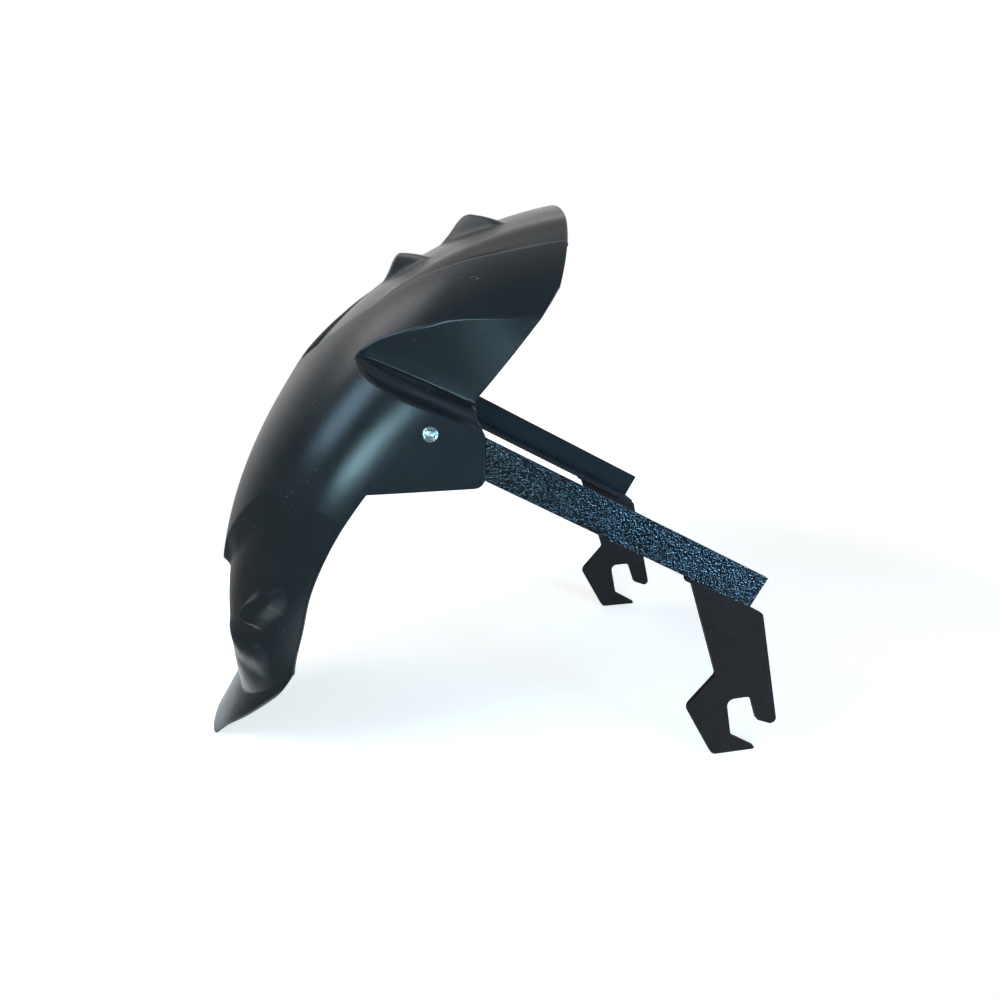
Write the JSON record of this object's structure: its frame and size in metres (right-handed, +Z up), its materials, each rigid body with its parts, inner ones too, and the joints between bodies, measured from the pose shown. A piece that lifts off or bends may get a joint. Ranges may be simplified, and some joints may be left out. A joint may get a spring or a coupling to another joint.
{
  "type": "motorcycle rear fender",
  "caption": "Moulded black wheel-hugging rear fender with an arched shell, side scoops, a stepped hood and a flared tail, carried by steel arms whose hook plates slip over the rear axle",
  "frame": {"origin": "on the axle line, midway between the hook plates", "axes": "+X to the front of the motorcycle, +Y to its left along the axle, +Z up as the part stands on its tail lip and hooks"},
  "size_m": [0.3706, 0.2364, 0.3413],
  "materials": {
    "shell": "satin moulded black plastic",
    "arm": "glossy black textured paint",
    "hook": "satin black textured paint",
    "zinc": "bright zinc plate"
  },
  "bodies": {
    "root": {"fender_shell": "shell", "arm_right": "arm", "arm_left": "arm", "hook_right": "hook", "hook_left": "hook", "weld_right": "hook", "weld_left": "hook", "screw_right": "zinc", "screw_left": "zinc", "washer_right": "zinc", "washer_left": "zinc", "nut_right": "zinc", "nut_left": "zinc"}
  },
  "joints": []
}
